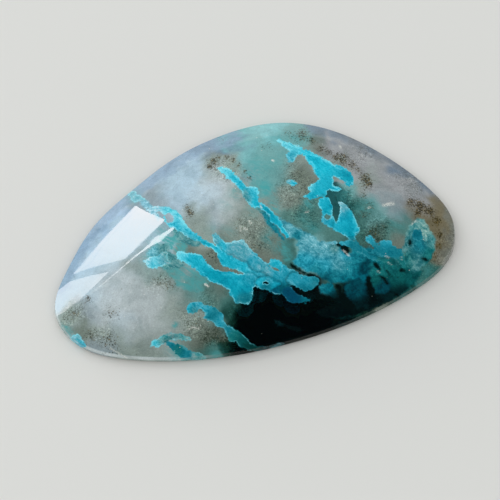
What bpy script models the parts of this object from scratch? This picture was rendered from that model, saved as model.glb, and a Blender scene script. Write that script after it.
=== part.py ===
"""A free-form gem silica cabochon: one polished stone with a flat lapped back,
a thin girdle and a low dome. The long way of the stone lies along X, the back
rests on the plane Z = 0, and the origin is the middle of the back's outline box.
"""

import math

import bmesh
import bpy
import numpy as np

MM = 0.001

# Heights of the stone, in millimetres above the surface it lies on
STONE_HEIGHT = 4.9
GIRDLE_TOP = 0.8
BEVEL_HEIGHT = 0.25

# How far the back's bevel and the top of the girdle stand inside the outline
BEVEL_INSET = 0.3
GIRDLE_DRAFT = 0.1

# The dome falls as this power of the way out, where the way is this many
# millimetres long. A longer way takes a higher power, so that the ends of the
# stone have nearly as full a shoulder as its sides
DOME_POWER = 2.2
TYPICAL_REACH = 12.0

# The outline that the lapidary cut round the blue plumes, seen from above,
# anticlockwise from the right-hand tip, in millimetres
OUTLINE = (
    (18.1, -3.0),
    (16.9, 0.7),
    (13.6, 5.2),
    (9.6, 8.7),
    (4.9, 10.5),
    (0.0, 10.4),
    (-4.6, 9.2),
    (-9.2, 6.9),
    (-13.2, 4.3),
    (-16.3, 0.8),
    (-18.15, -2.8),
    (-16.9, -6.2),
    (-13.0, -8.6),
    (-7.2, -10.1),
    (0.0, -10.6),
    (7.4, -9.9),
    (13.4, -8.2),
    (17.1, -5.8),
)

SEGMENTS = 112
DOME_RINGS = 26

# Pale blue-green chalcedony, polished
STONE_COLOUR = (0.36, 0.55, 0.57, 1.0)
STONE_ROUGHNESS = 0.08
STONE_IOR = 1.54


def clear_scene():
    for obj in list(bpy.data.objects):
        bpy.data.objects.remove(obj, do_unlink=True)


def smooth_loop(corners, count):
    """Points along the closed cubic spline through the corners, evenly spaced along it."""
    corners = np.array(corners, float)
    number = len(corners)
    after = np.roll(corners, -1, axis=0)
    spans = np.linalg.norm(after - corners, axis=1)

    # The bends at the corners make the curve's slope and curvature continuous
    before = np.roll(spans, 1)
    system = np.zeros((number, number))
    for i in range(number):
        system[i, i - 1] += before[i] / 6
        system[i, i] += (before[i] + spans[i]) / 3
        system[i, (i + 1) % number] += spans[i] / 6
    slopes = (after - corners) / spans[:, None]
    bends = np.linalg.solve(system, slopes - np.roll(slopes, 1, axis=0))

    fine = []
    steps_per_span = 40
    for i in range(number):
        following = (i + 1) % number
        for step in range(steps_per_span):
            b = step / steps_per_span
            a = 1 - b
            lift = (a**3 - a) * bends[i] + (b**3 - b) * bends[following]
            fine.append(a * corners[i] + b * corners[following] + lift * spans[i] ** 2 / 6)
    fine = np.array(fine)

    closed = np.vstack([fine, fine[:1]])
    lengths = np.concatenate([[0], np.cumsum(np.linalg.norm(np.diff(closed, axis=0), axis=1))])
    wanted = np.linspace(0, lengths[-1], count, endpoint=False)
    return np.column_stack([np.interp(wanted, lengths, closed[:, k]) for k in (0, 1)])


def centred(outline):
    """The outline moved so that the middle of its box is the origin."""
    return outline - (outline.max(axis=0) + outline.min(axis=0)) / 2


def inset(outline, distance):
    """The outline moved inwards by a distance, square to itself."""
    along = np.roll(outline, -1, axis=0) - np.roll(outline, 1, axis=0)
    along /= np.linalg.norm(along, axis=1)[:, None]
    inwards = np.column_stack([-along[:, 1], along[:, 0]])
    return outline + inwards * distance


def centre_of_area(outline):
    after = np.roll(outline, -1, axis=0)
    wedges = outline[:, 0] * after[:, 1] - after[:, 0] * outline[:, 1]
    return ((outline + after) * wedges[:, None]).sum(axis=0) / (3 * wedges.sum())


def stone_rings():
    """The rings of the stone from the edge of its back up to the last one below the apex."""
    outline = centred(smooth_loop(OUTLINE, SEGMENTS))
    girdle = inset(outline, GIRDLE_DRAFT)
    apex = centre_of_area(girdle)
    reach = np.linalg.norm(girdle - apex, axis=1)
    power = DOME_POWER * np.sqrt(reach / TYPICAL_REACH)
    rings = [
        (inset(outline, BEVEL_INSET), np.zeros(SEGMENTS)),
        (outline, np.full(SEGMENTS, BEVEL_HEIGHT)),
    ]
    for ring in range(DOME_RINGS):
        way_out = 1 - ring / DOME_RINGS
        points = apex + (girdle - apex) * way_out
        heights = STONE_HEIGHT - (STONE_HEIGHT - GIRDLE_TOP) * way_out**power
        rings.append((points, heights))
    return rings, apex


def stone_mesh():
    """A ball, each ring of which is moved onto one ring of the stone."""
    rings, apex = stone_rings()
    bands = len(rings) + 1
    shape = bmesh.new()
    bmesh.ops.create_uvsphere(shape, u_segments=SEGMENTS, v_segments=bands, radius=1)
    for vertex in shape.verts:
        x, y, z = vertex.co
        up_from_bottom = round(math.acos(max(-1.0, min(1.0, -z))) / math.pi * bands)
        if up_from_bottom in (0, bands):
            height = STONE_HEIGHT if up_from_bottom else 0
            vertex.co = (apex[0] * MM, apex[1] * MM, height * MM)
            continue
        segment = round(math.atan2(y, x) / math.tau * SEGMENTS) % SEGMENTS
        points, heights = rings[up_from_bottom - 1]
        vertex.co = (points[segment][0] * MM, points[segment][1] * MM, heights[segment] * MM)
    mesh = bpy.data.meshes.new("cabochon")
    shape.to_mesh(mesh)
    shape.free()
    return mesh


def stone_material():
    material = bpy.data.materials.new("polished chalcedony")
    material.use_nodes = True
    shader = material.node_tree.nodes["Principled BSDF"]
    shader.inputs["Base Color"].default_value = STONE_COLOUR
    shader.inputs["Roughness"].default_value = STONE_ROUGHNESS
    shader.inputs["Metallic"].default_value = 0.0
    shader.inputs["IOR"].default_value = STONE_IOR
    return material


def main():
    clear_scene()
    collection = bpy.data.collections.new("gem silica cabochon")
    bpy.context.scene.collection.children.link(collection)
    stone = bpy.data.objects.new("cabochon", stone_mesh())
    stone.data.materials.append(stone_material())
    stone.data.shade_smooth()
    stone.data.set_sharp_from_angle(angle=math.radians(30))
    collection.objects.link(stone)


main()
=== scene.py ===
import math

import bpy
import numpy as np
from mathutils import Matrix, Vector, noise


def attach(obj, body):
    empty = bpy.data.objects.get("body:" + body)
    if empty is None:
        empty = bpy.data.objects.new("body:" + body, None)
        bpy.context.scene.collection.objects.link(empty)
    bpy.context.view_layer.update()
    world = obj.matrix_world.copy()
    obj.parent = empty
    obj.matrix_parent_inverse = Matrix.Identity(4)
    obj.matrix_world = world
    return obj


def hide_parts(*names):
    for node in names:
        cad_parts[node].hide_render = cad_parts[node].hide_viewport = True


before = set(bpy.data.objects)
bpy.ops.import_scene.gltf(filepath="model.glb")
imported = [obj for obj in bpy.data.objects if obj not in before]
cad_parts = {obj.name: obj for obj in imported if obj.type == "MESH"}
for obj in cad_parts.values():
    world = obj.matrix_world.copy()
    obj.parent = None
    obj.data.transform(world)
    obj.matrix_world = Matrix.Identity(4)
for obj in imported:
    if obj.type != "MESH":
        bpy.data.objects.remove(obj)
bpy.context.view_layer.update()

# The camera stands in front of the stone, a little to its left, and looks
# steeply down on it. Every growth in the stone is placed from where it shows
# in this view, so the view comes first. Millimetres, degrees and pixels.
VIEW_SIDE = math.radians(-14)
VIEW_HEIGHT = math.radians(66)
VIEW_DISTANCE = 180.0
PIXELS_PER_MM = 11.4
PICTURE_SIDE = 500
SENSOR_WIDTH = 36.0
MM_PER_METRE = 1000
LOOKED_AT = np.array([-0.3, -1.88, 2.0])

view_back = np.array([
    math.sin(VIEW_SIDE) * math.cos(VIEW_HEIGHT),
    -math.cos(VIEW_SIDE) * math.cos(VIEW_HEIGHT),
    math.sin(VIEW_HEIGHT),
])
view_right = np.array([math.cos(VIEW_SIDE), math.sin(VIEW_SIDE), 0.0])
view_up = np.cross(view_back, view_right)
eye = LOOKED_AT + view_back * VIEW_DISTANCE
focal_pixels = VIEW_DISTANCE * PIXELS_PER_MM


def in_the_picture(points):
    """Where points on the stone, in millimetres, fall in the picture."""
    from_eye = points - eye
    scale = focal_pixels / -(from_eye @ view_back)
    middle = PICTURE_SIDE / 2
    across = middle + from_eye @ view_right * scale
    down = middle - from_eye @ view_up * scale
    return np.column_stack([across, down])


camera_data = bpy.data.cameras.new("camera")
camera_data.sensor_width = SENSOR_WIDTH
camera_data.lens = focal_pixels / PICTURE_SIDE * SENSOR_WIDTH
camera_data.clip_start = 0.01
camera_data.clip_end = 10
camera = bpy.data.objects.new("camera", camera_data)
bpy.context.scene.collection.objects.link(camera)
turned = Matrix((view_right, view_up, view_back)).transposed().to_4x4()
camera.matrix_world = Matrix.Translation(Vector(eye / MM_PER_METRE)) @ turned
bpy.context.scene.camera = camera


# The stone is one piece of chalcedony, ground by hand on a wheel to a free
# outline round its blue growths. The back is lapped flat and bevelled, and a
# thin girdle carries a low dome that is polished to a glass shine.
STONE_HEIGHT = 4.9
GIRDLE_TOP = 0.8
BEVEL_HEIGHT = 0.25
BEVEL_INSET = 0.3
GIRDLE_DRAFT = 0.1
DOME_POWER = 2.2
TYPICAL_REACH = 12.0
JUST_INSIDE = 0.9992
OUTLINE = (
    (18.1, -3.0), (16.9, 0.7), (13.6, 5.2), (9.6, 8.7), (4.9, 10.5), (0.0, 10.4),
    (-4.6, 9.2), (-9.2, 6.9), (-13.2, 4.3), (-16.3, 0.8), (-18.15, -2.8), (-16.9, -6.2),
    (-13.0, -8.6), (-7.2, -10.1), (0.0, -10.6), (7.4, -9.9), (13.4, -8.2), (17.1, -5.8),
)
SEGMENTS = 560
FINER = 5
BACK_BANDS = 2
DOME_BANDS = 30


def smooth_loop(corners, count):
    """Points along the closed cubic spline through the corners, evenly spaced along it."""
    corners = np.array(corners, float)
    number = len(corners)
    after = np.roll(corners, -1, axis=0)
    spans = np.linalg.norm(after - corners, axis=1)
    before = np.roll(spans, 1)
    system = np.zeros((number, number))
    for i in range(number):
        system[i, i - 1] += before[i] / 6
        system[i, i] += (before[i] + spans[i]) / 3
        system[i, (i + 1) % number] += spans[i] / 6
    slopes = (after - corners) / spans[:, None]
    bends = np.linalg.solve(system, slopes - np.roll(slopes, 1, axis=0))
    fine = []
    steps_per_span = 40
    for i in range(number):
        following = (i + 1) % number
        for step in range(steps_per_span):
            b = step / steps_per_span
            a = 1 - b
            lift = (a**3 - a) * bends[i] + (b**3 - b) * bends[following]
            fine.append(a * corners[i] + b * corners[following] + lift * spans[i] ** 2 / 6)
    fine = np.array(fine)
    closed = np.vstack([fine, fine[:1]])
    lengths = np.concatenate([[0], np.cumsum(np.linalg.norm(np.diff(closed, axis=0), axis=1))])
    wanted = np.linspace(0, lengths[-1], count, endpoint=False)
    return np.column_stack([np.interp(wanted, lengths, closed[:, k]) for k in (0, 1)])


def inset(outline, distance):
    """The outline moved inwards by a distance, square to itself."""
    along = np.roll(outline, -1, axis=0) - np.roll(outline, 1, axis=0)
    along /= np.linalg.norm(along, axis=1)[:, None]
    return outline + np.column_stack([-along[:, 1], along[:, 0]]) * distance


def centre_of_area(outline):
    after = np.roll(outline, -1, axis=0)
    wedges = outline[:, 0] * after[:, 1] - after[:, 0] * outline[:, 1]
    return ((outline + after) * wedges[:, None]).sum(axis=0) / (3 * wedges.sum())


outline = smooth_loop(OUTLINE, SEGMENTS)
outline = (outline - (outline.max(axis=0) + outline.min(axis=0)) / 2) * JUST_INSIDE
girdle = inset(outline, GIRDLE_DRAFT)
apex = centre_of_area(girdle)
reach = np.linalg.norm(girdle - apex, axis=1)
dome_power = DOME_POWER * np.sqrt(reach / TYPICAL_REACH)

# Rings from the middle of the back, out over the bevel and up the dome
back_edge = inset(outline, BEVEL_INSET)
rings = [np.column_stack([apex + (back_edge - apex) * 0, np.zeros(SEGMENTS)])]
for ring in range(1, BACK_BANDS * FINER + 1):
    flat = apex + (back_edge - apex) * ring / (BACK_BANDS * FINER)
    rings.append(np.column_stack([flat, np.zeros(SEGMENTS)]))
for ring in range(1, FINER + 1):
    flat = back_edge + (outline - back_edge) * ring / FINER
    rings.append(np.column_stack([flat, np.full(SEGMENTS, BEVEL_HEIGHT * ring / FINER)]))
for ring in range(1, FINER + 1):
    flat = outline + (girdle - outline) * ring / FINER
    rise = (GIRDLE_TOP - BEVEL_HEIGHT) * ring / FINER
    rings.append(np.column_stack([flat, np.full(SEGMENTS, BEVEL_HEIGHT + rise)]))
for ring in range(1, DOME_BANDS * FINER + 1):
    way_out = 1 - ring / (DOME_BANDS * FINER)
    flat = apex + (girdle - apex) * way_out
    fall = (STONE_HEIGHT - GIRDLE_TOP) * way_out**dome_power
    rings.append(np.column_stack([flat, (STONE_HEIGHT - fall) * JUST_INSIDE]))
rings = np.array(rings)
bands = BACK_BANDS + 2 + DOME_BANDS

# A ball is subdivided, and each of its rings goes onto one ring of the stone.
# The ball's faces are flat, so a point's place on a face gives its ring.
bpy.ops.object.select_all(action="DESELECT")
bpy.ops.mesh.primitive_uv_sphere_add(segments=SEGMENTS // FINER, ring_count=bands, radius=1)
stone = bpy.context.object
stone.name = "stone"
bpy.ops.object.mode_set(mode="EDIT")
bpy.ops.mesh.select_all(action="SELECT")
bpy.ops.mesh.subdivide(number_cuts=FINER - 1)
bpy.ops.object.mode_set(mode="OBJECT")
ROUNDING = 1e-4
ball = np.empty(len(stone.data.vertices) * 3)
stone.data.vertices.foreach_get("co", ball)
ball = ball.reshape(-1, 3)
ball_heights = -np.cos(np.arange(bands + 1) / bands * math.pi)
upward = np.interp(ball[:, 2], ball_heights, np.arange(bands + 1)) * FINER
turn = (np.arctan2(ball[:, 1], ball[:, 0]) / math.tau * SEGMENTS / FINER) % (SEGMENTS / FINER)
facet = np.floor(turn + ROUNDING)
half = math.pi * FINER / SEGMENTS
across_facet = (np.tan((turn - facet - 0.5) * 2 * half) / math.tan(half) + 1) / 2
around = (facet + np.clip(across_facet, 0, 1)) * FINER
lower_ring = np.clip(np.floor(upward + ROUNDING).astype(int), 0, len(rings) - 2)
up_share = np.clip(upward - lower_ring, 0, 1)[:, None]
left_side = np.floor(around + ROUNDING).astype(int)
side_share = np.clip(around - left_side, 0, 1)[:, None]
left_side = left_side % SEGMENTS
right_side = (left_side + 1) % SEGMENTS


def on_ring(number):
    return rings[number, left_side] * (1 - side_share) + rings[number, right_side] * side_share


surface = on_ring(lower_ring) * (1 - up_share) + on_ring(lower_ring + 1) * up_share
stone.data.vertices.foreach_set("co", (surface / MM_PER_METRE).astype(np.float32).ravel())
stone.data.update()
stone.data.shade_smooth()
stone.data.set_sharp_from_angle(angle=math.radians(30))

# Where each point of the surface shows in the picture. The back doesn't show,
# so it takes the pattern of what lies right above it, half way up the stone.
seen_at = surface.copy()
on_back = upward <= BACK_BANDS * FINER + 1e-3
seen_at[on_back, 2] = STONE_HEIGHT / 2
picture = in_the_picture(seen_at)

# What is laid into the stone is roughened by a wander, one number round
# 0 for each point, and the clouds also drift by some pixels each way.
SEED = 2
WANDER_SCALE = 1.4
DRIFT_SCALE = 0.45
DRIFT_REACH = 11
wander = np.array([noise.fractal(Vector(p) * WANDER_SCALE, 0.9, 2.1, 4) for p in surface])
noise.seed_set(SEED)
drift = np.array([noise.turbulence_vector(Vector(p) * DRIFT_SCALE, 4, False)[:2] for p in surface])
drifting = picture + (drift - drift.mean(axis=0)) * DRIFT_REACH
FAR = 20.0


def keep(name, values):
    """Stores one number for each point of the stone."""
    attribute = stone.data.attributes.new(name, "FLOAT", "POINT")
    attribute.data.foreach_set("value", np.asarray(values, np.float32))


def keep_colour(name, colours):
    """Stores one colour for each point of the stone."""
    attribute = stone.data.attributes.new(name, "FLOAT_COLOR", "POINT")
    whole = np.column_stack([np.clip(colours, 0, 1), np.ones(len(colours))])
    attribute.data.foreach_set("color", whole.astype(np.float32).ravel())


def light(red, green, blue):
    """A colour as light, from the values 0 to 255 that a screen shows."""
    value = np.array([red, green, blue]) / 255
    return np.where(value <= 0.04045, value / 12.92, ((value + 0.055) / 1.055) ** 2.4)


def smooth(values, low, high):
    """0 below low, 1 above high, and an even rise between."""
    share = np.clip((values - low) / (high - low), 0, 1)
    return share * share * (3 - 2 * share)


def blended(spots, values, where=picture):
    """Each point's value, blended softly from the spots round it: x, y, size, name of value."""
    total = np.zeros((len(picture), 1))
    mixed = np.zeros((len(picture), np.size(next(iter(values.values())))))
    for x, y, size, name in spots:
        away = ((where - (x, y)) ** 2).sum(axis=1) / size**2
        weight = (np.exp(-away) + 0.002 / (1 + away) ** 2)[:, None]
        mixed += weight * np.atleast_1d(values[name])
        total += weight
    return mixed / total


def gathered(spots, where=picture):
    """How strong something is at each point, from the spots where it lies: x, y, size, strength."""
    strength_here = np.zeros(len(picture))
    for x, y, size, strength in spots:
        here = strength * np.exp(-((where - (x, y)) ** 2).sum(axis=1) / size**2)
        strength_here += here - strength_here * here
    return strength_here


def rounded(corners):
    """The outline with its corners cut twice, so that it runs smoothly."""
    corners = np.array(corners, float)
    for _ in range(2):
        after = np.roll(corners, -1, axis=0)
        pairs = [corners * 0.8 + after * 0.2, corners * 0.2 + after * 0.8]
        corners = np.stack(pairs, axis=1).reshape(-1, 2)
    return corners


def depth_inside(corners):
    """How far inside the outline each point of the stone lies, in pixels; less than 0 outside it."""
    corners = rounded(corners)
    depth = np.full(len(picture), -FAR)
    low, high = corners.min(axis=0) - FAR, corners.max(axis=0) + FAR
    near = np.flatnonzero(((picture > low) & (picture < high)).all(axis=1))
    points = picture[near]
    nearest = np.full(len(near), 1e9)
    inside = np.zeros(len(near), bool)
    for start, end in zip(corners, np.roll(corners, -1, axis=0)):
        run = end - start
        along = np.clip(((points - start) @ run) / (run @ run), 0, 1)
        nearest = np.minimum(nearest, ((points - start - along[:, None] * run) ** 2).sum(axis=1))
        if start[1] != end[1]:
            crosses = (start[1] > points[:, 1]) != (end[1] > points[:, 1])
            where = start[0] + (points[:, 1] - start[1]) * run[0] / run[1]
            inside ^= crosses & (points[:, 0] < where)
    depth[near] = np.clip(np.sqrt(nearest), 0, FAR) * np.where(inside, 1, -1)
    return depth


def laid(under, over, amount):
    return under + (over - under) * np.reshape(amount, (-1, 1))


# The chalcedony itself: fibrous quartz that clouded as it grew, from milky
# blue-white at the left end to smoky, nearly clear bands between the growths,
# with a clear pool at the front edge and a cool grey rim. The colours also
# carry painted light and shade: lighter at the left end, which faces the
# window, darker towards the front and right, and black in the shaded pool.
CHALCEDONY = {
    "milk": light(174, 198, 211),
    "pale milk": light(190, 206, 214),
    "cloud": light(182, 190, 190),
    "sky": light(160, 190, 218),
    "steel": light(132, 158, 180),
    "slate": light(112, 132, 150),
    "smoke": light(142, 154, 146),
    "fog": light(144, 156, 160),
    "dusk": light(118, 128, 118),
    "lilac": light(160, 162, 163),
    "bronze": light(126, 118, 96),
    "rim": light(126, 128, 120),
    "sage": light(118, 164, 162),
    "mint": light(130, 188, 190),
    "moor": light(92, 130, 124),
    "green": light(76, 114, 108),
    "bark": light(92, 100, 90),
    "weed": light(50, 90, 92),
    "flint": light(100, 112, 122),
    # Painted shade: the black of the clear pool in shadow and the dark green round its edge
    "shadow green": light(34, 60, 52),
    "pool shadow": light(4, 9, 8),
}
# The clouds of each colour, by where they show: x, y and size. Each fades into
# those round it, and only the painted shade by the pool ends crisply.
CRISP = ("pool shadow", "shadow green")
SOFTENING = 1.25
ground_spots = {
    "milk": ((175, 185, 20), (120, 240, 22), (90, 270, 20), (195, 170, 10)),
    "fog": (
        (150, 204, 14), (146, 191, 8), (138, 187, 6), (155, 200, 7), (105, 345, 8), (86, 314, 7),
        (246, 170, 6), (214, 221, 7), (392, 207, 8),
    ),
    "pale milk": ((205, 195, 14), (122, 324, 10)),
    "smoke": (
        (196, 220, 9), (100, 333, 8), (120, 338, 10), (135, 343, 8), (75, 316, 6), (136, 262, 9),
        (150, 348, 9), (165, 322, 12), (195, 325, 12), (178, 310, 9), (155, 277, 10), (168, 285, 8),
        (215, 158, 6), (232, 160, 6), (212, 172, 7), (232, 190, 7), (240, 215, 9), (228, 230, 6),
        (250, 228, 10), (195, 221, 7), (205, 231, 8), (300, 165, 8), (278, 200, 7), (285, 190, 7),
        (368, 178, 7), (340, 162, 6),
    ),
    "cloud": (
        (125, 285, 22), (150, 300, 20), (110, 310, 14), (150, 320, 16), (225, 195, 9), (214, 185, 8),
        (225, 219, 9),
    ),
    "dusk": (
        (86, 331, 5), (137, 259, 7), (213, 289, 6), (192, 341, 8), (225, 232, 8), (262, 240, 9),
        (275, 250, 8), (215, 262, 7), (190, 248, 6), (318, 143, 6), (325, 151, 5), (297, 187, 8),
        (295, 201, 8), (307, 178, 5), (399, 242, 6), (375, 298, 7),
    ),
    "moor": (
        (147, 270, 8), (166, 271, 7), (185, 292, 9), (205, 292, 7), (218, 296, 7), (288, 215, 7),
        (306, 212, 8), (330, 232, 6), (385, 232, 7), (398, 225, 8), (217, 322, 5), (216, 350, 5),
    ),
    "sage": (
        (196, 290, 6), (258, 160, 12), (278, 172, 10), (262, 178, 7), (300, 130, 9), (304, 140, 6),
        (318, 249, 7), (354, 188, 5), (375, 212, 9),
    ),
    "green": (
        (224, 304, 5), (230, 313, 4), (210, 350, 6), (287, 251, 6), (287, 261, 5), (366, 212, 6),
        (355, 205, 8), (364, 229, 6), (430, 270, 7), (378, 290, 5), (350, 260, 8),
    ),
    "shadow green": ((226, 311, 5), (400, 295, 7), (370, 313, 6), (235, 319, 7), (228, 326, 6), (227, 345, 6)),
    "bark": ((217, 335, 7), (203, 333, 8), (203, 342, 8), (376, 233, 6)),
    # Painted reflection: the blue band where the steep far-left edge mirrors the room
    "sky": ((75, 250, 12), (95, 222, 10), (115, 205, 10), (140, 182, 9)),
    "steel": ((165, 163, 8), (190, 150, 7)),
    "slate": (
        (215, 143, 7), (238, 142, 6), (318, 133, 6), (345, 133, 5), (370, 150, 5), (400, 167, 7),
        (425, 184, 6),
    ),
    "mint": ((240, 131, 7), (222, 138, 6), (245, 155, 8), (275, 130, 9)),
    "weed": ((345, 202, 6), (335, 200, 5)),
    "lilac": (
        (330, 150, 7), (345, 145, 8), (360, 160, 10), (385, 182, 12), (405, 195, 10), (420, 198, 7),
        (413, 191, 7),
    ),
    "rim": ((448, 215, 5), (452, 235, 5), (446, 255, 6)),
    "bronze": ((413, 205, 5), (428, 209, 6), (437, 222, 6), (441, 238, 6), (437, 254, 6)),
    "pool shadow": (
        (340, 322, 9), (310, 320, 12), (275, 320, 16), (253, 306, 6), (294, 308, 7), (312, 306, 6),
        (262, 298, 6), (250, 310, 11), (243, 335, 9), (260, 345, 10), (300, 340, 10), (350, 305, 9),
    ),
}
softened = [
    (x, y, size if name in CRISP else size * SOFTENING, name)
    for name, spots in ground_spots.items() for x, y, size in spots
]
ground = blended(softened, CHALCEDONY, drifting)

# Cooler bands follow the edge of the stone: along the far edge, steel and flint
# are partly painted reflection of the dim room in the steep edge and partly the
# thin edge seen through; the dusk band is a faint one of growth.
edge_bands = (
    ("steel", 0.75, 3.0, (
        (50, 300), (58, 262), (78, 230), (105, 200), (135, 172), (170, 148), (205, 132), (238, 124),
        (244, 140), (228, 147), (207, 152), (192, 159), (176, 170), (158, 183), (140, 196),
        (118, 213), (96, 236), (80, 262), (68, 292),
    )),
    ("flint", 0.7, 4.0, (
        (318, 118), (350, 128), (385, 145), (412, 164), (432, 182), (446, 198), (440, 201),
        (428, 190), (410, 178), (398, 170), (386, 162), (368, 155), (352, 146), (345, 136), (330, 130),
    )),
    ("dusk", 0.15, 5.0, (
        (200, 160), (212, 154), (228, 154), (243, 162), (252, 174), (246, 180), (238, 172),
        (230, 165), (216, 163), (210, 172), (204, 172),
    )),
)
for name, strength, softness, corners in edge_bands:
    here = smooth(depth_inside(corners) + wander * 3, -softness, softness)
    ground = laid(ground, CHALCEDONY[name], here * strength)
# The clear pool at the front, and how clear the rest of the stone is. The pool's
# black is painted shade, on its ground and on the back below it.
pool = depth_inside((
    (234, 308), (240, 309), (250, 305), (256, 292), (270, 291), (281, 299), (292, 306), (303, 303),
    (312, 298), (330, 304), (352, 312), (362, 322), (350, 330), (316, 342), (287, 350), (254, 358),
    (234, 360), (229, 350), (229, 335), (233, 320),
))
clear_spots = (
    (270, 322, 20, 0.9), (315, 325, 16, 0.85), (345, 318, 12, 0.8), (245, 335, 10, 0.8),
    (300, 345, 14, 0.9), (255, 235, 14, 0.35), (215, 260, 9, 0.35), (195, 325, 14, 0.3),
    (160, 280, 12, 0.25), (75, 318, 8, 0.4), (295, 190, 16, 0.35), (305, 215, 12, 0.4),
    (350, 200, 12, 0.4), (375, 230, 14, 0.4), (225, 170, 12, 0.25), (450, 235, 12, 0.2),
    (440, 262, 12, 0.2), (425, 275, 10, 0.2), (350, 305, 12, 0.6), (375, 300, 10, 0.5),
    (100, 335, 10, 0.3), (410, 180, 14, 0.3), (360, 150, 12, 0.25), (215, 340, 10, 0.4),
    (205, 300, 8, 0.3),
)
clearness = np.maximum(gathered(clear_spots, drifting), 0.9 * smooth(pool + wander * 4, -8, 7))
clearness[(surface[:, 2] > 0) & (surface[:, 2] < GIRDLE_TOP)] *= 0.3
keep("clearness", clearness)

# Clear stone gives less light back, so what cloud it has is drawn paler
ground = ground * (1 + 1.1 * np.minimum(clearness, 0.45))[:, None]

# A painted glow along the girdle's thin edge, for light that runs through the
# milky stone into it
painted_girdle_glow = gathered((
    (75, 342, 12, 0.6), (92, 350, 14, 0.8), (115, 356, 18, 0.9), (145, 360, 18, 0.9), (172, 361, 16, 0.8),
    (195, 360, 14, 0.5), (58, 318, 10, 0.6), (455, 232, 12, 0.2),
))
on_girdle = smooth(surface[:, 2], 0.3, 0.5) * (surface[:, 2] < GIRDLE_TOP + 0.04)
ground = laid(ground, light(206, 216, 216), painted_girdle_glow * on_girdle)
keep_colour("ground", ground)


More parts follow.
